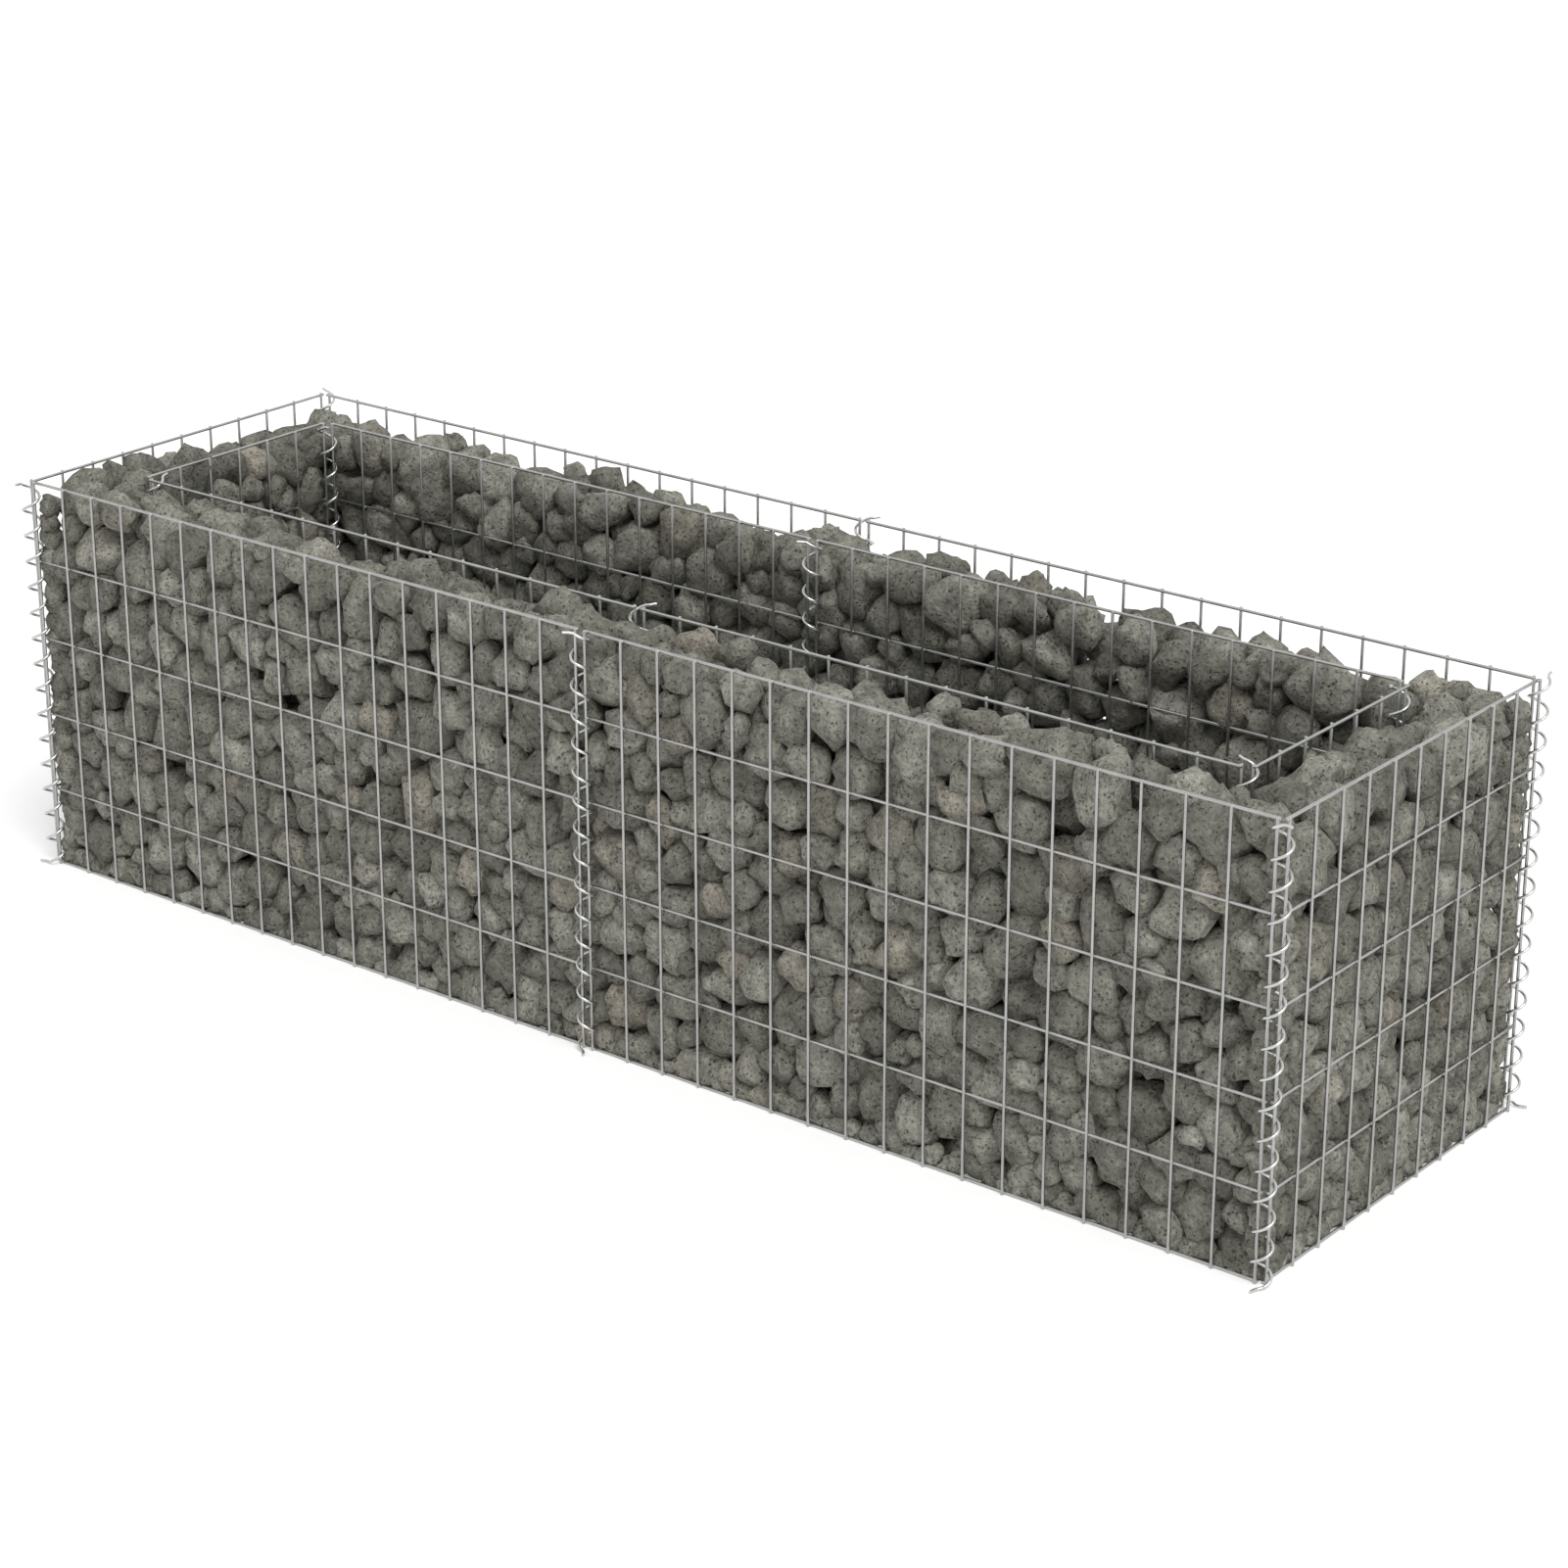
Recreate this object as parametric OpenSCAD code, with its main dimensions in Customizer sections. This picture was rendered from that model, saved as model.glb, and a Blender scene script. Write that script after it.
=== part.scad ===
// Gabion raised bed. Two welded-mesh baskets stand one inside the other, a wall of cobbles
// fills the space between them, and the middle is an open planting pit. Each basket is six
// flat mesh panels, laced together by spiral binders at its corners and at the middle of
// its long sides. X runs along the bed, the front is at -Y and the ground is at Z = 0.

/* [Outer basket] */
// Cells along each of the two panels in a long side
front_cells = 17; // [8:1:24]
// Cells along an end panel
end_cells = 10; // [9:1:16]
// Rows of cells in the height
rows = 5; // [2:1:8]

/* [Inner basket] */
// Cells along each of the two panels in a long side of the pit
pit_front_cells = 15; // [4:1:22]
// Cells along an end panel of the pit
pit_end_cells = 6; // [2:1:7]

/* [Welded mesh] */
// Width of a cell in the long panels
front_cell_w = 51.7; // [40:0.1:65]
// Width of a cell in the end panels
end_cell_w = 50; // [40:0.1:65]
// Height of a cell
cell_h = 100; // [70:1:125]
// Thickness of the mesh wire
wire_d = 4; // [3:0.1:5]
// Depth that crossing wires sink into each other at a weld
weld_depth = 0.6; // [0.2:0.1:1]

/* [Spaces where panels meet] */
// Space between the end wires of two panels in one side, centre to centre
mid_gap = 13.3; // [11:0.1:16]
// Distance along the bed from the last wire of a long side to the end panel
corner_gap_x = 10; // [8:0.1:12]
// Distance across the bed from a long side to the first wire of the end panel
corner_gap_y = 5.5; // [4:0.1:7]

/* [Spiral binders] */
// Thickness of the binder wire
spiral_wire_d = 3.5; // [2.5:0.1:4.5]
// Turns that a binder makes in each row of cells
turns_per_row = 3; // [2:1:4]
// Space between a binder and the wires that it laces
lacing_clearance = 0.3; // [0.1:0.1:0.5]

/* [Stone filling] */
// How far the top of the stones lies under the top of the mesh
stone_drop = 14; // [5:1:60]
// Space between the stones and the wire around them
stone_clearance = 0.3; // [0.1:0.1:1]

/* [Hidden] */

// A mesh wire is drawn as a bar of few sides, with its flats wire_d apart.
wire_sides = 8;
wire_r = wire_d / 2;
corner_r = wire_r / cos(180 / wire_sides);
// The rails lie on the stone side of the uprights, sunk in by the weld.
rail_set_in = wire_d - weld_depth;
rail_z0 = wire_r;
basket_h = rows * cell_h + wire_d;

// Places of the panels: the end wires of a long side, and the planes of the uprights.
front_w = front_cells * front_cell_w;
pit_front_w = pit_front_cells * front_cell_w;
side_end_x = mid_gap / 2 + front_w;
pit_side_end_x = mid_gap / 2 + pit_front_w;
end_x = side_end_x + corner_gap_x;
pit_end_x = pit_side_end_x + corner_gap_x;
end_half_w = end_cells * end_cell_w / 2;
pit_end_half_w = pit_end_cells * end_cell_w / 2;
side_y = end_half_w + corner_gap_y;
pit_side_y = pit_end_half_w + corner_gap_y;

// A binder's turn is two half rings, each tilted so that it climbs half a pitch between
// the two wires that it laces. Seen from above it is an oval, narrow from wire to wire,
// and just wide enough for the pair of wires that stand furthest apart.
corner_span = norm([corner_gap_x, corner_gap_y]);
corner_turn = atan2(corner_gap_y, corner_gap_x);
widest_span = max(mid_gap, corner_span);
pitch = cell_h / turns_per_row;
half_turns = 2 * turns_per_row * rows;
spiral_sides = 6;
spiral_wire_r = spiral_wire_d / 2;
narrow_r = widest_span / 2 + wire_r + lacing_clearance + spiral_wire_r;
arc_r = norm([narrow_r, pitch / 4]);
tilt = atan2(pitch / 4, narrow_r);
spiral_reach = arc_r + spiral_wire_r;

// Where two laced wires stand closer together, the binder slides away from the stones
// until its inside meets both of them.
free_wide_r = arc_r - spiral_wire_r - wire_r - lacing_clearance;
function slide(span) = free_wide_r * sqrt(1 - pow(span / widest_span, 2));

// The axis of a middle binder, and of a corner binder at a corner with positive X and Y.
// away is 1 for the outer basket and -1 for the inner one, whose stones lie outside it.
function mid_axis(y, away) = [0, y + away * slide(mid_gap)];
function corner_axis(x, y, away) =
    [
        x + corner_gap_x / 2 + away * slide(corner_span) * sin(corner_turn),
        y - corner_gap_y / 2 + away * slide(corner_span) * cos(corner_turn)
    ];

// The stones stand clear of the rails and of the binders.
stone_set_in = rail_set_in + wire_r + stone_clearance;
stone_h = basket_h - stone_drop;
notch_r = spiral_reach + stone_clearance;
notch_over = 1;
pit_corner = corner_axis(pit_side_end_x, pit_side_y, -1);
stone_outer_x = end_x - stone_set_in;
stone_outer_y = side_y - stone_set_in;
stone_inner_x = pit_end_x + stone_set_in;
stone_inner_y = pit_side_y + stone_set_in;

// ---- Welded mesh ----

module upright() {
    rotate([0, 0, 180 / wire_sides])
        cylinder(h = basket_h, r = corner_r, $fn = wire_sides);
}

module rail(length) {
    rotate([0, 90, 0])
        rotate([0, 0, 180 / wire_sides])
            cylinder(h = length, r = corner_r, $fn = wire_sides);
}

// A panel stands in the XZ plane from its first upright at X = 0, with its rails at +Y.
module mesh_panel(cells, cell_w) {
    for (i = [0:cells])
        translate([i * cell_w, 0, 0])
            upright();
    for (k = [0:rows])
        translate([-wire_r, rail_set_in, rail_z0 + k * cell_h])
            rail(cells * cell_w + wire_d);
}

module long_panel(cells, first_x, y, stones_at_back) {
    color("silver")
        translate([first_x, y, 0])
            mirror([0, stones_at_back ? 0 : 1, 0])
                mesh_panel(cells, front_cell_w);
}

module cross_panel(cells, x, stones_at_right) {
    color("silver")
        translate([x, -cells * end_cell_w / 2, 0])
            mirror([stones_at_right ? 0 : 1, 0, 0])
                rotate([0, 0, 90])
                    mirror([0, 1, 0])
                        mesh_panel(cells, end_cell_w);
}

// ---- Spiral binders ----

// A ring segment in the tilted plane, from one angle on through a sweep.
module tilted_arc(from, sweep) {
    rotate([0, tilt, 0])
        rotate([0, 0, from])
            rotate_extrude(angle = sweep, $fn = 32)
                translate([arc_r, 0])
                    circle(r = spiral_wire_r, $fn = spiral_sides);
}

// A right-handed binder stands on its own axis, with its two laced wires at -X and +X. It
// starts and ends at -Y, the side away from the stones, beside the lowest and top rails.
module right_handed_spiral() {
    translate([0, 0, rail_z0])
        rotate([0, 0, 180])
            tilted_arc(90, 90);
    for (k = [1:half_turns - 1])
        translate([0, 0, rail_z0 + k * pitch / 2])
            rotate([0, 0, 180 * (k - 1)])
                tilted_arc(0, 180);
    translate([0, 0, rail_z0 + half_turns * pitch / 2])
        rotate([0, 0, 180])
            tilted_arc(0, 90);
}

module left_handed_spiral() {
    mirror([1, 0, 0])
        right_handed_spiral();
}

// The middle binders are left-handed. side is -1 in front and 1 at the back.
module mid_spiral(y, away, side) {
    color("gainsboro")
        translate([0, side * mid_axis(y, away)[1], 0])
            rotate([0, 0, side * away < 0 ? 0 : 180])
                left_handed_spiral();
}

// The corner binders are right-handed. The mirroring that takes one to its corner is
// undone for its winding at the two corners that are reached by a single mirroring.
module corner_spiral(x, y, away, end, side) {
    axis = corner_axis(x, y, away);
    color("gainsboro")
        mirror([end < 0 ? 1 : 0, 0, 0])
            mirror([0, side < 0 ? 1 : 0, 0])
                translate([axis[0], axis[1], 0])
                    rotate([0, 0, -corner_turn])
                        rotate([0, 0, away < 0 ? 0 : 180])
                            if (end * side > 0)
                                right_handed_spiral();
                            else
                                left_handed_spiral();
}

module outer_corner_spiral(end, side) {
    corner_spiral(side_end_x, side_y, 1, end, side);
}

module pit_corner_spiral(end, side) {
    corner_spiral(pit_side_end_x, pit_side_y, -1, end, side);
}

// ---- Stone filling ----

// The room that a binder needs in the stones, around its axis.
module spiral_notch(axis) {
    translate([axis[0], axis[1], -notch_over])
        cylinder(h = basket_h + 2 * notch_over, r = notch_r, $fn = 48);
}

// Half of a long wall of stones, from the middle of the bed to its corner.
module long_stones() {
    color("dimgray")
        difference() {
            translate([0, stone_inner_y, 0])
                cube([stone_outer_x, stone_outer_y - stone_inner_y, stone_h]);
            spiral_notch(mid_axis(side_y, 1));
            spiral_notch(mid_axis(pit_side_y, -1));
            spiral_notch(corner_axis(side_end_x, side_y, 1));
            spiral_notch(pit_corner);
        }
}

// The wall of stones across an end, between the two long walls.
module end_stones() {
    color("dimgray")
        difference() {
            translate([stone_inner_x, -stone_inner_y, 0])
                cube([stone_outer_x - stone_inner_x, 2 * stone_inner_y, stone_h]);
            spiral_notch(pit_corner);
            spiral_notch([pit_corner[0], -pit_corner[1]]);
        }
}

mirror([1, 0, 0]) mirror([0, 1, 0]) long_stones();  // front_left_stones
mirror([0, 1, 0]) long_stones();  // front_right_stones
mirror([1, 0, 0]) long_stones();  // back_left_stones
long_stones();  // back_right_stones
mirror([1, 0, 0]) end_stones();  // left_end_stones
end_stones();  // right_end_stones
long_panel(front_cells, -side_end_x, -side_y, true);  // front_left_panel
long_panel(front_cells, mid_gap / 2, -side_y, true);  // front_right_panel
long_panel(front_cells, -side_end_x, side_y, false);  // back_left_panel
long_panel(front_cells, mid_gap / 2, side_y, false);  // back_right_panel
cross_panel(end_cells, -end_x, true);  // left_end_panel
cross_panel(end_cells, end_x, false);  // right_end_panel
long_panel(pit_front_cells, -pit_side_end_x, -pit_side_y, false);  // pit_front_left_panel
long_panel(pit_front_cells, mid_gap / 2, -pit_side_y, false);  // pit_front_right_panel
long_panel(pit_front_cells, -pit_side_end_x, pit_side_y, true);  // pit_back_left_panel
long_panel(pit_front_cells, mid_gap / 2, pit_side_y, true);  // pit_back_right_panel
cross_panel(pit_end_cells, -pit_end_x, false);  // pit_left_panel
cross_panel(pit_end_cells, pit_end_x, true);  // pit_right_panel
mid_spiral(side_y, 1, -1);  // front_spiral
mid_spiral(side_y, 1, 1);  // back_spiral
outer_corner_spiral(-1, -1);  // front_left_spiral
outer_corner_spiral(1, -1);  // front_right_spiral
outer_corner_spiral(-1, 1);  // back_left_spiral
outer_corner_spiral(1, 1);  // back_right_spiral
mid_spiral(pit_side_y, -1, -1);  // pit_front_spiral
mid_spiral(pit_side_y, -1, 1);  // pit_back_spiral
pit_corner_spiral(-1, -1);  // pit_front_left_spiral
pit_corner_spiral(1, -1);  // pit_front_right_spiral
pit_corner_spiral(-1, 1);  // pit_back_left_spiral
pit_corner_spiral(1, 1);  // pit_back_right_spiral
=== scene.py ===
# %% [markdown]
# # A gabion raised bed
#
# A gabion bed is two baskets of welded wire mesh, one inside the other. Cobbles fill the
# narrow space between them, spiral binders lace the flat mesh panels together, and the
# middle is left open for soil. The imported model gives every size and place. This lesson
# gives the bed its looks: round galvanised wire with welds, wound binders, and a wall of
# 2,420 single cobbles.

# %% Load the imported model
import math

import bmesh
import bpy
import numpy as np
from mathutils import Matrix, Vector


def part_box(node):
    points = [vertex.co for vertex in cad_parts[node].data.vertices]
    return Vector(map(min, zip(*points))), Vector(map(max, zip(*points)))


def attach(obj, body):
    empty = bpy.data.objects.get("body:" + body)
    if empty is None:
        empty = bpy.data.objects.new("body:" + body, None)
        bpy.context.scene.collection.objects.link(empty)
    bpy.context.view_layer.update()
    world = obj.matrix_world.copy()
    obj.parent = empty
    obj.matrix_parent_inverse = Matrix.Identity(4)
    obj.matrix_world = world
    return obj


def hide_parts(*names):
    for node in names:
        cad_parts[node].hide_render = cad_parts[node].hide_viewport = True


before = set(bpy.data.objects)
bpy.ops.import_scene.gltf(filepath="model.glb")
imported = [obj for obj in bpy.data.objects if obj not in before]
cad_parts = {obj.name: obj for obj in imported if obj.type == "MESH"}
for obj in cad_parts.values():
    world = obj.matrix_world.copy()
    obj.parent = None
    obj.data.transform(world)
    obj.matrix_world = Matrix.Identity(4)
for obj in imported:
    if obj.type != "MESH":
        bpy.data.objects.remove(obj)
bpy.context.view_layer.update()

# %% [markdown]
# ## The camera
#
# The camera stands in front of the right-hand corner and looks down on the bed, so that
# the long side, one end and the pit all show. A long lens keeps the uprights almost
# parallel. It is placed from an angle, a height angle and a distance, because those say
# more than three coordinates do.

# %% Place the camera
VIEW_AZIMUTH = math.radians(38.4)
VIEW_ELEVATION = math.radians(21.35)
VIEW_DISTANCE = 4.434
VIEW_TARGET = (0.081, 0.0, 0.2645)
LENS_MM = 88.8

back = (
    math.sin(VIEW_AZIMUTH) * math.cos(VIEW_ELEVATION),
    -math.cos(VIEW_AZIMUTH) * math.cos(VIEW_ELEVATION),
    math.sin(VIEW_ELEVATION),
)
bpy.ops.object.select_all(action="DESELECT")
bpy.ops.object.camera_add(
    location=[t + VIEW_DISTANCE * b for t, b in zip(VIEW_TARGET, back)],
    rotation=(math.pi / 2 - VIEW_ELEVATION, 0, VIEW_AZIMUTH),
)
camera = bpy.context.object
camera.data.lens = LENS_MM
bpy.context.scene.camera = camera
print("camera at", [round(v, 3) for v in camera.location])

# %% [markdown]
# ## Helpers for modelling by hand
#
# Operators act on whatever is selected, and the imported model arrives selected. So every
# step starts by clearing the selection. In edit mode, faces or edges are picked by where
# they are, as a modeller would pick them with a box. A finished piece has its place in its
# mesh and its object at the origin.

# %% Selection and finishing helpers
def clear_selection():
    """Nothing stays selected, so that the next operator touches only what it adds."""
    bpy.ops.object.select_all(action="DESELECT")


def select_only(*pieces):
    """Selects these pieces and makes the first one active."""
    clear_selection()
    for piece in pieces:
        piece.select_set(True)
    bpy.context.view_layer.objects.active = pieces[0]


def pick(kind, wanted):
    """In edit mode, selects the faces, edges or verts for which wanted(item) is true."""
    bpy.ops.mesh.select_all(action="DESELECT")
    mesh = bmesh.from_edit_mesh(bpy.context.edit_object.data)
    for item in getattr(mesh, kind):
        if wanted(item):
            item.select_set(True)
    mesh.select_flush_mode()
    bmesh.update_edit_mesh(bpy.context.edit_object.data)


def add_modifier(piece, kind, **settings):
    """Adds a modifier with these settings and applies it at once."""
    select_only(piece)
    bpy.ops.object.modifier_add(type=kind)
    modifier = piece.modifiers[-1]
    for key, value in settings.items():
        setattr(modifier, key, value)
    bpy.ops.object.modifier_apply(modifier=modifier.name)


def repeat(piece, count, step):
    """Repeats a piece along a straight line, as one mesh."""
    add_modifier(
        piece,
        "ARRAY",
        count=count,
        use_relative_offset=False,
        use_constant_offset=True,
        constant_offset_displace=step,
    )


def settle(piece, name):
    """Puts a piece's place and turn into its mesh and names it."""
    select_only(piece)
    bpy.ops.object.transform_apply(location=True, rotation=True, scale=True)
    piece.name = name
    piece.data.name = name
    return piece


def stand_for(piece, node, material):
    """A finished piece takes the place of its CAD node."""
    piece.data.materials.clear()
    piece.data.materials.append(material)
    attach(piece, "root")
    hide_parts(node)


print("helpers ready")

# %% [markdown]
# ## Materials
#
# Two effects are shared. Mottle is the soft cloudiness of river stone, and of zinc that has
# weathered for a season. Pits are small holes in both, drawn darker; on the cobbles that dark
# is painted shade in the holes. They could be painted, but two thousand stones are too many to
# paint, and noise covers them all. Each effect is a node group that only puts out masks, and
# every material sets its own scale and strength. The shader itself stays in each material.

# %% A small helper for node trees
def put(tree, kind, inputs=None, **settings):
    """Adds a node, sets its options and plain input values, and links the rest."""
    node = tree.nodes.new(kind)
    for key, value in settings.items():
        setattr(node, key, value)
    for key, value in (inputs or {}).items():
        if isinstance(value, bpy.types.NodeSocket):
            tree.links.new(value, node.inputs[key])
        else:
            node.inputs[key].default_value = value
    return node


def new_group(name, inputs, outputs):
    """A shader node group with named sockets, given as {name: socket type}."""
    group = bpy.data.node_groups.new(name, "ShaderNodeTree")
    for label, kind in inputs.items():
        group.interface.new_socket(label, in_out="INPUT", socket_type=kind)
    for label, kind in outputs.items():
        group.interface.new_socket(label, in_out="OUTPUT", socket_type=kind)
    return group, group.nodes.new("NodeGroupInput"), group.nodes.new("NodeGroupOutput")


def use_group(tree, group, **inputs):
    """Places a node group in a tree with its own values."""
    return put(tree, "ShaderNodeGroup", inputs, node_tree=group)


# %% The mottle group: cloudy tone at two scales
mottle, mottle_in, mottle_out = new_group(
    "mottle",
    {"Place": "NodeSocketVector", "Scale": "NodeSocketFloat"},
    {"Clouds": "NodeSocketFloat", "Speckle": "NodeSocketFloat"},
)
FINE_RATIO = 4.5
clouds = put(
    mottle,
    "ShaderNodeTexNoise",
    {
        "Vector": mottle_in.outputs["Place"],
        "Scale": mottle_in.outputs["Scale"],
        "Detail": 4.0,
        "Roughness": 0.6,
    },
)
fine_scale = put(
    mottle,
    "ShaderNodeMath",
    {0: mottle_in.outputs["Scale"], 1: FINE_RATIO},
    operation="MULTIPLY",
)
speckle = put(
    mottle,
    "ShaderNodeTexNoise",
    {
        "Vector": mottle_in.outputs["Place"],
        "Scale": fine_scale.outputs[0],
        "Detail": 3.0,
        "Roughness": 0.7,
    },
)
mottle.links.new(clouds.outputs["Fac"], mottle_out.inputs["Clouds"])
mottle.links.new(speckle.outputs["Fac"], mottle_out.inputs["Speckle"])
print("group", mottle.name)

# %% The pits group: scattered small holes
pits, pits_in, pits_out = new_group(
    "pits",
    {"Place": "NodeSocketVector", "Scale": "NodeSocketFloat", "Size": "NodeSocketFloat"},
    {"Hole": "NodeSocketFloat"},
)
ragged = put(
    pits,
    "ShaderNodeTexNoise",
    {"Vector": pits_in.outputs["Place"], "Scale": pits_in.outputs["Scale"], "Detail": 2.0},
)
RAGGED_BY = 0.008
ragged_place = put(
    pits,
    "ShaderNodeVectorMath",
    {0: ragged.outputs["Color"], 1: (RAGGED_BY,) * 3, 2: pits_in.outputs["Place"]},
    operation="MULTIPLY_ADD",
)
cells = put(
    pits,
    "ShaderNodeTexVoronoi",
    {"Vector": ragged_place.outputs[0], "Scale": pits_in.outputs["Scale"]},
)
scatter = put(
    pits,
    "ShaderNodeSeparateColor",
    {"Color": cells.outputs["Color"]},
)
# A cell's own random number shrinks its hole, so that no two holes are the same size.
reach = put(
    pits,
    "ShaderNodeMath",
    {0: scatter.outputs["Red"], 1: pits_in.outputs["Size"]},
    operation="MULTIPLY",
)
hole = put(
    pits,
    "ShaderNodeMapRange",
    {
        "Value": cells.outputs["Distance"],
        "From Min": 0.0,
        "From Max": reach.outputs[0],
        "To Min": 1.0,
        "To Max": 0.0,
    },
    interpolation_type="SMOOTHSTEP",
)
pits.links.new(hole.outputs["Result"], pits_out.inputs["Hole"])
print("group", pits.name)

# %% [markdown]
# ### Cobble
#
# The cobbles are grey-green river stones with a few beige ones among them. A material for
# each tone would mean hundreds of them. So each cobble carries three random numbers in a
# colour attribute instead. The first picks its tone and the second its warmth. All three
# together shift the patterns, so that no cloud runs on from one stone into the next. The
# bump is only the skin of the stone: its shape is in the mesh.

# %% The cobble material
STONE_SEED = "stone_seed"
COOL_TONES = (
    (0.0, (0.150, 0.148, 0.124)),
    (0.5, (0.210, 0.206, 0.175)),
    (1.0, (0.280, 0.274, 0.236)),
)
WARM_TONES = ((0.0, (0.200, 0.186, 0.153)), (1.0, (0.330, 0.302, 0.252)))
# Stones whose second number lies above this turn beige by degrees.
WARM_FROM = 0.90
# How far the three numbers shift the patterns, in metres.
PATTERN_SHIFT = (5.0, 7.0, 3.0)


def tone_ramp(tree, fac, stops):
    """A colour ramp with these (place, colour) stops."""
    node = put(tree, "ShaderNodeValToRGB", {"Fac": fac})
    ramp = node.color_ramp
    while len(ramp.elements) < len(stops):
        ramp.elements.new(0.5)
    for element, (place, colour) in zip(ramp.elements, stops):
        element.position = place
        element.color = (*colour, 1.0)
    return node


def new_material(name):
    """A material with an empty tree but for its output and its Principled BSDF."""
    material = bpy.data.materials.new(name)
    material.use_nodes = True
    tree = material.node_tree
    return material, tree, tree.nodes["Principled BSDF"]


cobble, tree, shader = new_material("cobble")
seed = put(tree, "ShaderNodeAttribute", attribute_name=STONE_SEED)
dice = put(tree, "ShaderNodeSeparateColor", {"Color": seed.outputs["Color"]})
coords = put(tree, "ShaderNodeTexCoord")
shift = put(
    tree,
    "ShaderNodeVectorMath",
    {0: seed.outputs["Vector"], 1: PATTERN_SHIFT},
    operation="MULTIPLY",
)
place = put(
    tree,
    "ShaderNodeVectorMath",
    {0: coords.outputs["Object"], 1: shift.outputs[0]},
    operation="ADD",
)
spots = use_group(tree, mottle, Place=place.outputs[0], Scale=52.0)
holes = use_group(tree, pits, Place=place.outputs[0], Scale=230.0, Size=0.6)
cool = tone_ramp(tree, dice.outputs["Red"], COOL_TONES)
warm = tone_ramp(tree, dice.outputs["Red"], WARM_TONES)
warmth = put(
    tree,
    "ShaderNodeMapRange",
    {"Value": dice.outputs["Green"], "From Min": WARM_FROM, "From Max": 1.0},
)
stone_tone = put(
    tree,
    "ShaderNodeMix",
    {"Factor": warmth.outputs[0], "A": cool.outputs["Color"], "B": warm.outputs["Color"]},
    data_type="RGBA",
)
print("material", cobble.name)

# %% Mottle, speckles and pits on the cobble, with painted shade in the pits
# Noise seldom leaves this middle part of its range from 0 to 1.
NOISE_LOW = 0.25
NOISE_HIGH = 0.75
CLOUDS_IN_RELIEF = 2.5


def factor_of(tree, value, low, high):
    """Turns a noise mask into a factor from low to high."""
    return put(
        tree,
        "ShaderNodeMapRange",
        {
            "Value": value,
            "From Min": NOISE_LOW,
            "From Max": NOISE_HIGH,
            "To Min": low,
            "To Max": high,
        },
    ).outputs[0]


def multiply(tree, a, b):
    """The product of two values."""
    return put(tree, "ShaderNodeMath", {0: a, 1: b}, operation="MULTIPLY").outputs[0]


cloud_factor = factor_of(tree, spots.outputs["Clouds"], 0.56, 1.46)
speckle_factor = factor_of(tree, spots.outputs["Speckle"], 0.52, 1.50)
# The bump below sinks the pits; this darkens them as painted shade inside the holes.
pit_shade_factor = put(
    tree,
    "ShaderNodeMapRange",
    {"Value": holes.outputs["Hole"], "To Min": 1.0, "To Max": 0.30},
).outputs[0]
# The stone's real mottle and speckle, times the painted shade in the pits.
mottle_and_pit_shade = multiply(tree, multiply(tree, cloud_factor, speckle_factor), pit_shade_factor)
stone_colour = put(
    tree,
    "ShaderNodeVectorMath",
    {0: stone_tone.outputs["Result"], 1: mottle_and_pit_shade},
    operation="MULTIPLY",
)
tree.links.new(stone_colour.outputs[0], shader.inputs["Base Color"])
tree.links.new(
    factor_of(tree, spots.outputs["Speckle"], 0.78, 0.95), shader.inputs["Roughness"]
)
shader.inputs["Specular IOR Level"].default_value = 0.25
relief = put(
    tree,
    "ShaderNodeMath",
    {0: spots.outputs["Speckle"], 1: holes.outputs["Hole"]},
    operation="SUBTRACT",
)
relief_and_clouds = put(
    tree,
    "ShaderNodeMath",
    {0: spots.outputs["Clouds"], 1: CLOUDS_IN_RELIEF, 2: relief.outputs[0]},
    operation="MULTIPLY_ADD",
)
skin = put(
    tree,
    "ShaderNodeBump",
    {"Height": relief_and_clouds.outputs[0], "Strength": 0.9, "Distance": 0.0024},
)
tree.links.new(skin.outputs["Normal"], shader.inputs["Normal"])
print("cobble has", len(tree.nodes), "nodes")

# %% [markdown]
# ### Galvanised wire
#
# Mesh wire is dipped in zinc, which dulls to a satin grey with faint clouds in it. The
# binders are drawn from brighter wire. Two copies of one material would drift apart when
# either is changed. Both are the same recipe with other numbers, so one function makes
# them.

# %% The two wire materials
def zinc(name, tone, roughness):
    """Galvanised wire: a satin metal whose tone and gloss vary a little from place to place."""
    material, tree, shader = new_material(name)
    coords = put(tree, "ShaderNodeTexCoord")
    spots = use_group(tree, mottle, Place=coords.outputs["Object"], Scale=55.0)
    holes = use_group(tree, pits, Place=coords.outputs["Object"], Scale=420.0, Size=0.30)
    clouds = factor_of(tree, spots.outputs["Clouds"], 0.86, 1.12)
    dull = put(
        tree,
        "ShaderNodeMapRange",
        {"Value": holes.outputs["Hole"], "To Min": 1.0, "To Max": 0.8},
    ).outputs[0]
    colour = put(
        tree,
        "ShaderNodeVectorMath",
        {0: tone, 1: multiply(tree, clouds, dull)},
        operation="MULTIPLY",
    )
    tree.links.new(colour.outputs[0], shader.inputs["Base Color"])
    tree.links.new(
        factor_of(tree, spots.outputs["Speckle"], roughness - 0.07, roughness + 0.10),
        shader.inputs["Roughness"],
    )
    shader.inputs["Metallic"].default_value = 1.0
    skin = put(
        tree,
        "ShaderNodeBump",
        {"Height": spots.outputs["Speckle"], "Strength": 0.25, "Distance": 0.0003},
    )
    tree.links.new(skin.outputs["Normal"], shader.inputs["Normal"])
    return material


mesh_wire = zinc("mesh_wire", (0.43, 0.43, 0.42), 0.30)
binder_wire = zinc("binder_wire", (0.58, 0.58, 0.57), 0.26)
print("materials", mesh_wire.name, binder_wire.name)

# %% [markdown]
# ## Welded mesh panels
#
# A panel is a row of uprights with rails welded across them. It could be drawn as curves
# with a bevel, but a wire is so simple that a cylinder with eased ends does it. One
# upright, one rail and one weld are modelled, and each is repeated by an array, which is
# how the welding machine makes them too. The weld is the small flattened bead where the
# machine pressed the hot wires into each other.

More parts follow.
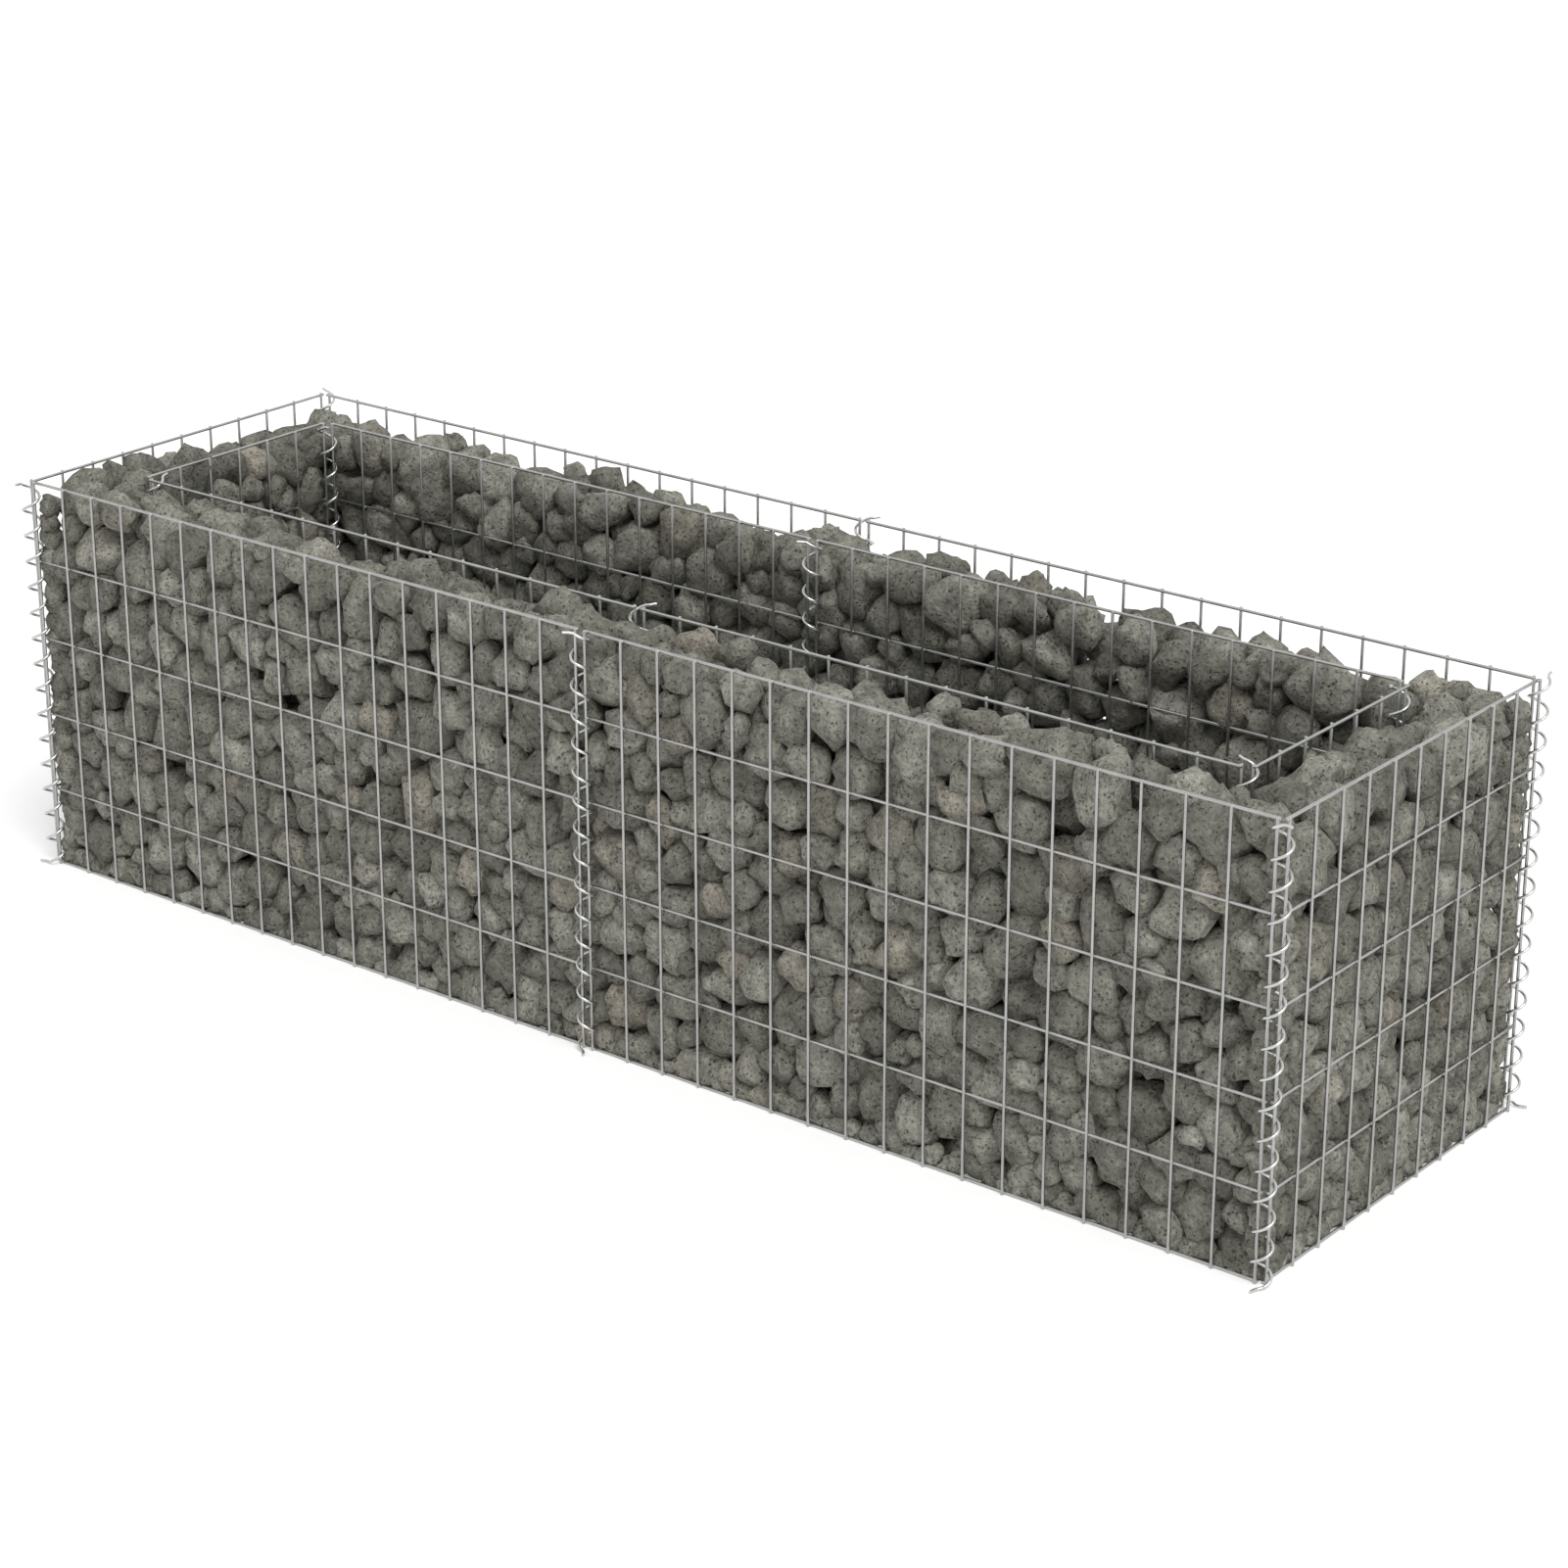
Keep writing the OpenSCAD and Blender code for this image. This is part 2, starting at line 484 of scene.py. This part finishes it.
# %% Sizes of the mesh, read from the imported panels
CELL_H = 0.100
LONG_CELL_W = 0.0517
END_CELL_W = 0.050
CAD_WIRE_D = 0.004
# The axis of a wire lies this far inside the box of its packed panel.
AXIS_IN = CAD_WIRE_D / 2
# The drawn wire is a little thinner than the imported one, and its uprights keep their axes.
WIRE_D = 0.0036
WIRE_R = WIRE_D / 2
WIRE_SIDES = 12
EASE = 0.0005
# How far the weld sinks the rails into the uprights.
WELD_DEPTH = 0.0006
RAIL_SET_IN = WIRE_D - WELD_DEPTH

low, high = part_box("front_left_panel")
BASKET_H = high.z - low.z
ROWS = round((BASKET_H - CAD_WIRE_D) / CELL_H)
print("rows", ROWS, "rails set in by", round(RAIL_SET_IN * 1000, 2), "mm")

# %% One round wire with eased ends
# An edge is level when the heights of its ends differ by less than this.
LEVEL = 1e-6


def round_wire(length, radius, sides):
    """A wire that stands on the origin, with the sharp rims of its cut ends eased."""
    clear_selection()
    bpy.ops.mesh.primitive_cylinder_add(
        vertices=sides, radius=radius, depth=length, location=(0, 0, length / 2)
    )
    wire = bpy.context.object
    bpy.ops.object.transform_apply(location=True)
    bpy.ops.object.mode_set(mode="EDIT")
    bpy.ops.mesh.select_mode(type="EDGE")
    pick("edges", lambda edge: abs(edge.verts[0].co.z - edge.verts[1].co.z) < LEVEL)
    bpy.ops.mesh.bevel(offset=EASE, segments=2, affect="EDGES")
    bpy.ops.object.mode_set(mode="OBJECT")
    return wire


# %% One weld bead
# Along the rail, through the panel, and along the upright.
BEAD_RADII = (0.0027, 0.0017, 0.0019)


def weld_bead():
    """A pressed bead at the origin, drawn out along the rail."""
    clear_selection()
    bpy.ops.mesh.primitive_uv_sphere_add(segments=8, ring_count=6, radius=1.0)
    bead = bpy.context.object
    bpy.ops.object.mode_set(mode="EDIT")
    bpy.ops.transform.resize(value=BEAD_RADII)
    bpy.ops.object.mode_set(mode="OBJECT")
    return bead


# %% A whole panel
SMOOTH_BELOW = math.radians(50)


def welded_panel(cells, cell_w, stone_side):
    """A panel from X = 0 along +X, its uprights at Y = 0 and its rails on the stone side."""
    rail_y = stone_side * RAIL_SET_IN
    length = cells * cell_w
    uprights = round_wire(BASKET_H, WIRE_R, WIRE_SIDES)
    repeat(uprights, cells + 1, (cell_w, 0, 0))

    rails = round_wire(length + WIRE_D, WIRE_R, WIRE_SIDES)
    rails.rotation_euler = (0, math.pi / 2, 0)
    rails.location = (-WIRE_R, rail_y, AXIS_IN)
    bpy.ops.object.transform_apply(location=True, rotation=True)
    repeat(rails, ROWS + 1, (0, 0, CELL_H))

    beads = weld_bead()
    beads.location = (0, rail_y / 2, AXIS_IN)
    bpy.ops.object.transform_apply(location=True)
    repeat(beads, cells + 1, (cell_w, 0, 0))
    repeat(beads, ROWS + 1, (0, 0, CELL_H))

    select_only(uprights, rails, beads)
    bpy.ops.object.join()
    bpy.ops.object.shade_smooth_by_angle(angle=SMOOTH_BELOW)
    return uprights


# %% Put every panel in its place
# For each CAD node: whether it runs along the bed, and which way its stones lie.
PANELS = {
    "front_left_panel": (True, 1),
    "front_right_panel": (True, 1),
    "back_left_panel": (True, -1),
    "back_right_panel": (True, -1),
    "left_end_panel": (False, 1),
    "right_end_panel": (False, -1),
    "pit_front_left_panel": (True, -1),
    "pit_front_right_panel": (True, -1),
    "pit_back_left_panel": (True, 1),
    "pit_back_right_panel": (True, 1),
    "pit_left_panel": (False, -1),
    "pit_right_panel": (False, 1),
}
# Where the axes of each panel's uprights lie: they are its wires furthest from the stones.
upright_plane = {}
for node, (runs_along, stones) in PANELS.items():
    low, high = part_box(node)
    across = 1 if runs_along else 0
    near, far = (low[across], high[across]) if stones > 0 else (high[across], low[across])
    upright_plane[node] = near + stones * AXIS_IN
    cell_w = LONG_CELL_W if runs_along else END_CELL_W
    span = (high - low)[1 - across] - CAD_WIRE_D
    panel = welded_panel(round(span / cell_w), cell_w, stones if runs_along else -stones)
    if runs_along:
        panel.location = (low.x + AXIS_IN, upright_plane[node], 0)
    else:
        panel.location = (upright_plane[node], low.y + AXIS_IN, 0)
        panel.rotation_euler = (0, 0, math.pi / 2)
    settle(panel, node.replace("_panel", "_mesh"))
    stand_for(panel, node, mesh_wire)
    print(panel.name, "cells", round(span / cell_w), "faces", len(panel.data.polygons))

# %% [markdown]
# ## Spiral binders
#
# A binder is a wound wire that is screwed down around the end wires of two panels, and its
# ends are bent over so that it can't work loose. A screw modifier would wind it, but not
# bend its ends. So it is drawn as one curve whose points are worked out turn by turn, given
# the wire's thickness, and made a mesh. The middle binders are wound left-handed and the
# corner binders right-handed.

# %% Sizes of a binder
BINDER_R = 0.00175
TURNS_PER_ROW = 3
TURNS = TURNS_PER_ROW * ROWS
POINTS_PER_TURN = 20
LACING_CLEARANCE = 0.0003
TAIL = 0.010


def end_wire(node, end):
    """The axis (x, y) of a panel's first or last upright. end is -1 or 1."""
    low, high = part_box(node)
    along = 0 if PANELS[node][0] else 1
    place = (high if end > 0 else low)[along] - end * AXIS_IN
    point = [upright_plane[node]] * 2
    point[along] = place
    return np.array(point)


# Each binder: the two end wires that it laces, as (panel, end), and its winding, which is
# 1 for right-handed and -1 for left-handed.
LACED = {
    "front_spiral": (("front_left_panel", 1), ("front_right_panel", -1), -1),
    "back_spiral": (("back_left_panel", 1), ("back_right_panel", -1), -1),
    "pit_front_spiral": (("pit_front_left_panel", 1), ("pit_front_right_panel", -1), -1),
    "pit_back_spiral": (("pit_back_left_panel", 1), ("pit_back_right_panel", -1), -1),
}
for where in ("", "pit_"):
    for side, side_end in (("front", -1), ("back", 1)):
        for end, end_sign in (("left", -1), ("right", 1)):
            cross = f"pit_{end}_panel" if where else f"{end}_end_panel"
            LACED[f"{where}{side}_{end}_spiral"] = (
                (f"{where}{side}_{end}_panel", end_sign),
                (cross, side_end),
                1,
            )
spans = {
    name: np.linalg.norm(end_wire(*a) - end_wire(*b)) for name, (a, b, _) in LACED.items()
}
# Half the widest span has to fit in the coil, with a whole wire beyond it.
free_r = max(spans.values()) / 2
coil_r = free_r + AXIS_IN + LACING_CLEARANCE + BINDER_R
print("binders", len(LACED), "mean coil radius", round(coil_r * 1000, 2), "mm")

# %% Wind one binder
# The half of a tail next to the coil turns out by the first share, and its end by the second.
BEND_OUT = (0.4, 1.0)
# A tail keeps only this share of the coil's slope.
TAIL_SLOPE = 0.3
# The lowest that the axis of a binder's wire may lie, so that its tail stays off the ground.
LOWEST = 1.5 * BINDER_R


def binder_points(start_angle, winding):
    """The turns of a binder around its own axis."""
    count = TURNS * POINTS_PER_TURN
    turn = np.arange(count + 1) / POINTS_PER_TURN
    angle = start_angle + winding * 2 * math.pi * turn
    height = AXIS_IN + CELL_H * turn / TURNS_PER_ROW
    return np.stack([coil_r * np.cos(angle), coil_r * np.sin(angle), height], 1)


def tail(helix, reach):
    """Two points that bend a helix's last turn outwards."""
    last, before = helix[-1], helix[-2]
    along = (last - before) / np.linalg.norm(last - before)
    along[2] *= TAIL_SLOPE
    outward = np.array([last[0], last[1], 0]) / np.linalg.norm(last[:2])
    bend = last + reach / 2 * (along + BEND_OUT[0] * outward)
    return np.array([bend, bend + reach / 2 * (along + BEND_OUT[1] * outward)])


def wind(name, axis, away, winding):
    """A binder as a mesh, on its own axis, that starts and ends on the away side."""
    start_angle = math.atan2(away[1], away[0])
    helix = binder_points(start_angle, winding)
    points = np.concatenate([tail(helix[::-1], TAIL)[::-1], helix, tail(helix, TAIL)])
    points[:, 2] = np.clip(points[:, 2], LOWEST, None)
    clear_selection()
    bpy.ops.curve.primitive_bezier_curve_add()
    binder = bpy.context.object
    curve = binder.data
    curve.splines.clear()
    spline = curve.splines.new("POLY")
    spline.points.add(len(points) - 1)
    spline.points.foreach_set("co", np.c_[points, np.ones(len(points))].ravel())
    curve.dimensions = "3D"
    curve.bevel_depth = BINDER_R
    curve.bevel_resolution = 2
    curve.use_fill_caps = True
    binder.location = (axis[0], axis[1], 0)
    bpy.ops.object.convert(target="MESH")
    bpy.ops.object.shade_smooth()
    return settle(binder, name)


for name, (a, b, winding) in LACED.items():
    wire_a, wire_b = end_wire(*a), end_wire(*b)
    middle = (wire_a + wire_b) / 2
    across = (wire_b - wire_a) / np.linalg.norm(wire_b - wire_a)
    away = np.array([-across[1], across[0]])
    # The outer basket's binders slide outwards, and the pit's towards the pit.
    outwards = -1 if name.startswith("pit_") else 1
    if np.dot(away, middle) * outwards < 0:
        away = -away
    # Wires that are closer together than the widest span sit off the axis, in the coil's bend.
    slide = math.sqrt(max(0, free_r**2 - (spans[name] / 2) ** 2))
    binder = wind(name.replace("_spiral", "_binder"), middle + slide * away, away, winding)
    stand_for(binder, name, binder_wire)
print("binders wound, faces each", len(binder.data.polygons))

# %% [markdown]
# ## The cobbles
#
# The wall holds 2,420 stones. They can't all be modelled, and a handful of copies would
# show, so the work is shared out. Fourteen base cobbles are modelled from cubes that are
# rounded and lumped by noise. Sizes and turns are drawn at random. Then a packing step
# finds a place for every stone, as if they had been tipped in and shaken down. Last, each
# stone becomes its own copy of a base cobble, and the copies are gathered into the six
# filling pieces.

# %% Model the base cobbles
BASE_COBBLES = 14
CUTS = 3
ROUNDING = 0.80
LUMP_SIZE = 1.0
LUMP_HEIGHT = 1.5
# From one stone's place in the noise to the next one's.
NOISE_STEP = (3.1, 1.7)


def base_cobble(index):
    """A lumpy stone in a cube of side 2, as an array of points and its quads."""
    clear_selection()
    bpy.ops.mesh.primitive_cube_add(size=2.0)
    stone = bpy.context.object
    bpy.ops.object.mode_set(mode="EDIT")
    bpy.ops.mesh.subdivide(number_cuts=CUTS)
    bpy.ops.object.mode_set(mode="OBJECT")
    # With a radius of 0 the cast reaches every point, however far out it lies.
    add_modifier(stone, "CAST", factor=ROUNDING, radius=0.0)
    noise = bpy.data.textures.new(f"lumps_{index}", "CLOUDS")
    noise.noise_scale = LUMP_SIZE
    noise.noise_depth = 1
    # The noise is read at a place of its own, so that every stone's lumps differ.
    stone.location = (NOISE_STEP[0] * index, NOISE_STEP[1] * index, 0)
    add_modifier(
        stone,
        "DISPLACE",
        texture=noise,
        texture_coords="GLOBAL",
        strength=LUMP_HEIGHT,
        mid_level=0.5,
    )
    add_modifier(stone, "SMOOTH", factor=0.5, iterations=1)
    co = np.empty(len(stone.data.vertices) * 3, np.float32)
    stone.data.vertices.foreach_get("co", co)
    co = co.reshape(-1, 3)
    co -= (co.max(0) + co.min(0)) / 2
    co /= (co.max(0) - co.min(0)) / 2
    quads = np.array([p.vertices[:] for p in stone.data.polygons])
    bpy.data.objects.remove(stone)
    return co, quads


bases = [base_cobble(i) for i in range(BASE_COBBLES)]
print("base cobbles", len(bases), "with", len(bases[0][1]), "faces each")

# %% [markdown]
# ### Packing
#
# A stone is packed as an ellipsoid: three half axes and a turn. Real gravel settles until
# every stone rests on others, and the same comes out of a simple loop. Stones that overlap
# push each other apart, walls push stones back, and once they have grown a little, each
# pass lets every stone sink. The stones start small, so that nothing has to be untangled
# at full size. Blender's rigid bodies could do this too, but two thousand of them are
# slow, and this takes seconds. Most stones lie with their flat side along the mesh, as
# they do where they are pressed against it.

# %% The room for the stones
low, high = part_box("back_right_stones")
ROOM_OUT = np.array([high.x, high.y])
ROOM_IN = np.array([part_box("right_end_stones")[0].x, low.y])
FILL_TOP = high.z
# The stones may press a little past the rails, into the openings of the mesh.
PRESS = 0.0015
ROOM_OUT += PRESS
ROOM_IN -= PRESS
STONES = 2420
rng = np.random.default_rng(58)
print("wall from", ROOM_IN.round(3), "to", ROOM_OUT.round(3), "and up to", round(FILL_TOP, 3))

# %% Sizes and places to start from
# The least and greatest mean radius of each kind of stone.
LARGE_R = (0.027, 0.036)
MIDDLE_R = (0.020, 0.027)
SMALL_R = (0.013, 0.020)
# Below the first share a stone is large, below the second middling, and else small.
LARGE_BELOW = 0.33
MIDDLE_BELOW = 0.80
# The half axes of a stone, each as a least and greatest share of its mean radius.
LONG_AXIS = (1.02, 1.30)
MIDDLE_AXIS = (0.90, 1.08)
SHORT_AXIS = (0.72, 0.95)
# Stones start at least this far from every wall and from the ground.
START_IN = 0.02

share = rng.random(STONES)
large = rng.uniform(*LARGE_R, STONES)
middling = rng.uniform(*MIDDLE_R, STONES)
small = rng.uniform(*SMALL_R, STONES)
mean_r = np.where(share < LARGE_BELOW, large, np.where(share < MIDDLE_BELOW, middling, small))
axis_ranges = (LONG_AXIS, MIDDLE_AXIS, SHORT_AXIS)
shape = np.stack([rng.uniform(*axis_range, STONES) for axis_range in axis_ranges], 1)
half_axes = mean_r[:, None] * shape


def random_places(count):
    """Places spread evenly through the ring of the wall."""
    found = np.empty((0, 3))
    while len(found) < count:
        tries = rng.uniform(-1, 1, (count * 3, 2)) * (ROOM_OUT - START_IN)
        in_wall = (np.abs(tries) > ROOM_IN + START_IN).any(1)
        tries = tries[in_wall]
        heights = rng.uniform(START_IN, FILL_TOP, len(tries))
        found = np.concatenate([found, np.c_[tries, heights]])
    return found[:count]


centre = random_places(STONES)
print("stones", STONES, "large", int((share < LARGE_BELOW).sum()))

# %% Small stones along the foot and the corners
# They line the foot of the outer mesh and its four corners, where large ones leave gaps.
# Each has a home that it is drawn back to. The rise from one home to the next up a corner is
# a share of the step along the foot.
LINING_STEP = 0.025
LINING_RISE = 0.8
LINING_IN = 0.011
LINING_FOOT = 0.004
LINING_BELOW_TOP = 0.01
LINING_R = (0.013, 0.017)
HOME_SPREAD = 0.002

corners = np.array([[-1, -1], [1, -1], [1, 1], [-1, 1], [-1, -1]]) * (ROOM_OUT - LINING_IN)
walked = np.concatenate([[0], np.cumsum(np.abs(np.diff(corners, axis=0)).sum(1))])
around = np.arange(0, walked[-1], LINING_STEP)
foot_x, foot_y = (np.interp(around, walked, corners[:, axis]) for axis in (0, 1))
foot = np.c_[foot_x, foot_y, np.full(len(around), LINING_FOOT)]
rise = np.arange(LINING_STEP, FILL_TOP - LINING_BELOW_TOP, LINING_STEP * LINING_RISE)
posts = np.concatenate([np.c_[np.tile(corner, (len(rise), 1)), rise] for corner in corners[:4]])
homes = np.concatenate([foot, posts])
homes += rng.normal(0, HOME_SPREAD, homes.shape)
lining = np.arange(len(homes))
centre[lining] = homes
half_axes[lining] = rng.uniform(*LINING_R, (len(homes), 1)) * shape[lining]
print("lining stones", len(homes))

# %% How each stone is turned
# How far a short axis strays from the way through the wall, and how level a long one lies.
TURN_SPREAD = 0.38
LEVELLING = (1.0, 1.0, 0.8)


def turns_for(centre):
    """A rotation for each stone that lays its shortest axis roughly through the wall."""
    in_end = np.abs(centre[:, 0]) > ROOM_IN[0]
    through = np.where(in_end[:, None], (1.0, 0.0, 0.0), (0.0, 1.0, 0.0))
    through = through + rng.normal(0, TURN_SPREAD, (len(centre), 3))
    short = through / np.linalg.norm(through, axis=1, keepdims=True)
    long = rng.normal(0, 1, (len(centre), 3)) * LEVELLING
    long -= (long * short).sum(1, keepdims=True) * short
    long /= np.linalg.norm(long, axis=1, keepdims=True)
    return np.stack([long, np.cross(short, long), short], 2)


turn = turns_for(centre)
volume = (4 / 3 * math.pi * half_axes.prod(1)).sum()
print("solid volume of the stones", round(volume, 4), "cubic metres")

# %% What limits each stone
# Stones are drawn this much larger than they are packed, so that they sit tight.
SNUG = 1.09
# Nobody heaps a gabion: each stone is pressed under a height of its own near the top. The
# front is filled a little higher.
FRONT_RISE = 0.010
LID_SPREAD = 0.006
# A stone's centre stays at least this share of its half height above the ground, so that it
# beds into the ground and closes the foot of the wall.
BEDDING = (-0.2, 0.5)

front_rise = np.where(centre[:, 1] < 0, FRONT_RISE, 0.0)
lid = FILL_TOP + front_rise + rng.normal(0, LID_SPREAD, STONES)
bedding = rng.uniform(*BEDDING, STONES)
spread = np.einsum("nij,nj,nkj->nik", turn, half_axes**2, turn)
inverse = np.einsum("nij,nj,nkj->nik", turn, half_axes**-2.0, turn)
edge_reach = np.sqrt(spread[:, (0, 1, 2), (0, 1, 2)])
weight = half_axes.prod(1)
print("lids from", round(lid.min(), 3), "to", round(lid.max(), 3))

# %% Push touching stones apart
REACH = 0.075
# Two ellipsoids touch at a distance between the sum of their radii along the line that
# joins them and the sum of their supports, which is how far each reaches that way at all.
SUPPORT_SHARE = 0.45
RADIUS_SHARE = 0.55
# The share of an overlap that one pass removes.
PUSH_SHARE = 0.45
# Keeps two stones at one place from dividing by zero.
TINY = 1e-9


def near_pairs(centre):
    """All pairs of stones whose centres are within reach of each other."""
    first, second = [], []
    order = np.argsort(centre[:, 0])
    x = centre[order, 0]
    last = np.searchsorted(x, x + REACH, side="right")
    for i in range(len(order)):
        others = order[i + 1 : last[i]]
        gap = centre[others] - centre[order[i]]
        close = others[(gap**2).sum(1) < REACH**2]
        first.append(np.full(len(close), order[i]))
        second.append(close)
    return np.concatenate(first), np.concatenate(second)


def push_apart(centre, pairs, size):
    """Moves overlapping stones apart, the lighter one further."""
    a, b = pairs
    gap = centre[b] - centre[a]
    distance = np.linalg.norm(gap, axis=1) + TINY
    way = gap / distance[:, None]
    touch = np.zeros(len(a))
    for stone in (a, b):
        support = np.sqrt(np.einsum("ni,nij,nj->n", way, spread[stone], way))
        radial = 1 / np.sqrt(np.einsum("ni,nij,nj->n", way, inverse[stone], way))
        touch += size * (SUPPORT_SHARE * support + RADIUS_SHARE * radial)
    overlap = np.clip(touch - distance, 0, None)
    share = weight[b] / (weight[a] + weight[b])
    push = (PUSH_SHARE * overlap)[:, None] * way
    move = np.zeros_like(centre)
    np.add.at(move, a, -push * share[:, None])
    np.add.at(move, b, push * (1 - share)[:, None])
    return centre + move, overlap


print("pairs within reach at the start", len(near_pairs(centre)[0]))

# %% Keep them between the baskets
LEAN = 0.0001


def keep_in_wall(centre, size):
    """Pushes stones back between the two baskets and onto the ground."""
    reach = edge_reach * size
    side = np.sign(centre[:, :2])
    depth = np.abs(centre[:, :2])
    depth = np.minimum(depth, ROOM_OUT - reach[:, :2])
    # A stone that has strayed into the pit leaves it by the nearer of its walls.
    into_pit = ROOM_IN + reach[:, :2] - depth
    inside = (into_pit > 0).all(1)
    by_x = inside & (into_pit[:, 0] < into_pit[:, 1])
    by_y = inside & ~by_x
    depth[by_x, 0] += into_pit[by_x, 0]
    depth[by_y, 1] += into_pit[by_y, 1]
    centre[:, :2] = side * depth
    centre[:, 2] = np.maximum(centre[:, 2], bedding * reach[:, 2])
    centre[:, 2] = np.minimum(centre[:, 2], lid - SNUG * reach[:, 2])
    return centre


def lean_on_mesh(centre):
    """Lets every stone lean a little towards the mesh that it is nearer to."""
    depth = np.abs(centre[:, :2])
    outwards = depth > (ROOM_IN + ROOM_OUT) / 2
    in_wall = depth > ROOM_IN
    lean = np.where(outwards, LEAN, -LEAN) * in_wall
    centre[:, :2] += np.sign(centre[:, :2]) * lean
    return centre


print("each pass leans a stone by", LEAN * 1000, "mm")

# %% Shake the stones down
GROW_PASSES = 260
SETTLE_PASSES = 240
PASSES = GROW_PASSES + SETTLE_PASSES
START_SIZE = 0.55
GROWTH = 0.45
PAIR_EVERY = 8
SINK = 0.0006
SINK_AFTER = GROW_PASSES / 3
HOMING = 0.3

for step in range(PASSES):
    size = min(1.0, START_SIZE + GROWTH * step / GROW_PASSES)
    centre = lean_on_mesh(centre)
    if step % PAIR_EVERY == 0:
        pairs = near_pairs(centre)
    if step > SINK_AFTER:
        centre[:, 2] -= SINK * (1 - step / PASSES)
    centre, overlap = push_apart(centre, pairs, size)
    centre = keep_in_wall(centre, size)
    centre[lining] += HOMING * (homes - centre[lining])
top = centre[:, 2] + SNUG * edge_reach[:, 2]
print("mean overlap", round(overlap[overlap > 0].mean() * 1000, 2), "mm")
print("highest stone reaches", round(top.max(), 3), "m")

# %% The shape of every stone
# Past the limit, a stone keeps only this share of its bulge through the mesh.
MESH_PRESS = 0.25
MESH_LIMIT = ROOM_OUT + 0.001
GROUND_GAP = 0.0005


def stone_points(index):
    """The points of one stone, pressed flat on the ground and eased at the outer mesh."""
    points = bases[index % BASE_COBBLES][0] * half_axes[index] * SNUG
    points = points @ turn[index].T + centre[index]
    for axis in (0, 1):
        over = np.abs(points[:, axis]) - MESH_LIMIT[axis]
        past = over > 0
        points[past, axis] -= np.sign(points[past, axis]) * over[past] * (1 - MESH_PRESS)
    points[:, 2] = np.maximum(points[:, 2], GROUND_GAP)
    return points


def filling_of(place):
    """The name of the filling that a stone at this place belongs to."""
    if abs(place[0]) > ROOM_IN[0] and abs(place[1]) < ROOM_IN[1]:
        return "left_end_stones" if place[0] < 0 else "right_end_stones"
    side = "front" if place[1] < 0 else "back"
    half = "left" if place[0] < 0 else "right"
    return f"{side}_{half}_stones"


fillings = {}
for index, place in enumerate(centre):
    fillings.setdefault(filling_of(place), []).append(index)
seeds = rng.random((STONES, 3))
per_stone = len(bases[0][0])
print("fillings", {node: len(members) for node, members in sorted(fillings.items())})

# %% Gather the stones into the six fillings
for node, members in sorted(fillings.items()):
    verts = np.concatenate([stone_points(i) for i in members])
    quads = np.concatenate(
        [bases[i % BASE_COBBLES][1] + k * per_stone for k, i in enumerate(members)]
    )
    mesh = bpy.data.meshes.new(node.replace("_stones", "_cobbles"))
    mesh.from_pydata(verts.tolist(), [], quads.tolist())
    mesh.shade_smooth()
    colours = mesh.color_attributes.new(STONE_SEED, "FLOAT_COLOR", "POINT")
    values = np.repeat(np.c_[seeds[members], np.ones(len(members))], per_stone, axis=0)
    colours.data.foreach_set("color", values.ravel())
    piece = bpy.data.objects.new(mesh.name, mesh)
    bpy.context.scene.collection.objects.link(piece)
    stand_for(piece, node, cobble)
    print(piece.name, "stones", len(members), "faces", len(quads))

# %% [markdown]
# ## Floor and light
#
# The bed stands on a wide pale floor under a soft white sky. A broad sun from the front
# right lifts the tops and the near end a little, as daylight does. Both floor and sky are
# a little brighter to the eye and in reflections than the light they give off. A floor lit
# by light alone would stay grey, and one that only glowed would lose the bed's shadow, so
# it does some of each.

# %% Floor
FLOOR_HALF = 20.0
FLOOR_TONE = 0.9
FLOOR_GLOW = 0.22


def seen_or_mirrored(tree):
    """1 for what the camera sees directly or in a reflection, and 0 for other light."""
    path = put(tree, "ShaderNodeLightPath")
    return put(
        tree,
        "ShaderNodeMath",
        {0: path.outputs["Is Camera Ray"], 1: path.outputs["Is Glossy Ray"]},
        operation="MAXIMUM",
    ).outputs[0]


floor_finish, tree, shader = new_material("pale_floor")
shader.inputs["Base Color"].default_value = (FLOOR_TONE, FLOOR_TONE, FLOOR_TONE, 1)
shader.inputs["Roughness"].default_value = 0.9
shader.inputs["Specular IOR Level"].default_value = 0.0
# A faint glow lifts the lit floor to white, and still leaves the shadow of the bed on it.
glow = multiply(tree, seen_or_mirrored(tree), FLOOR_GLOW)
tree.links.new(glow, shader.inputs["Emission Strength"])
shader.inputs["Emission Color"].default_value = (1, 1, 1, 1)
clear_selection()
bpy.ops.mesh.primitive_plane_add(size=2 * FLOOR_HALF, location=(0, 0, 0))
floor = bpy.context.object
floor.name = "floor"
floor.data.materials.append(floor_finish)
print("floor", floor.name)

# %% Sky and sun
SKY_LIGHT = 0.70
SKY_SEEN = 1.0
SUN_TILT = math.radians(35)
SUN_AZIMUTH = math.radians(62)
SUN_WIDTH = math.radians(35)
SUN_STRENGTH = 1.6

world = bpy.data.worlds.new("soft_sky")
bpy.context.scene.world = world
world.use_nodes = True
sky = world.node_tree.nodes["Background"]
seen = put(
    world.node_tree,
    "ShaderNodeMapRange",
    {"Value": seen_or_mirrored(world.node_tree), "To Min": SKY_LIGHT, "To Max": SKY_SEEN},
)
world.node_tree.links.new(seen.outputs[0], sky.inputs["Strength"])
sky.inputs["Color"].default_value = (1, 1, 1, 1)

clear_selection()
bpy.ops.object.light_add(type="SUN", rotation=(SUN_TILT, 0, SUN_AZIMUTH))
sun = bpy.context.object
sun.name = "sun"
sun.data.energy = SUN_STRENGTH
sun.data.angle = SUN_WIDTH

bpy.context.scene.view_settings.view_transform = "Standard"
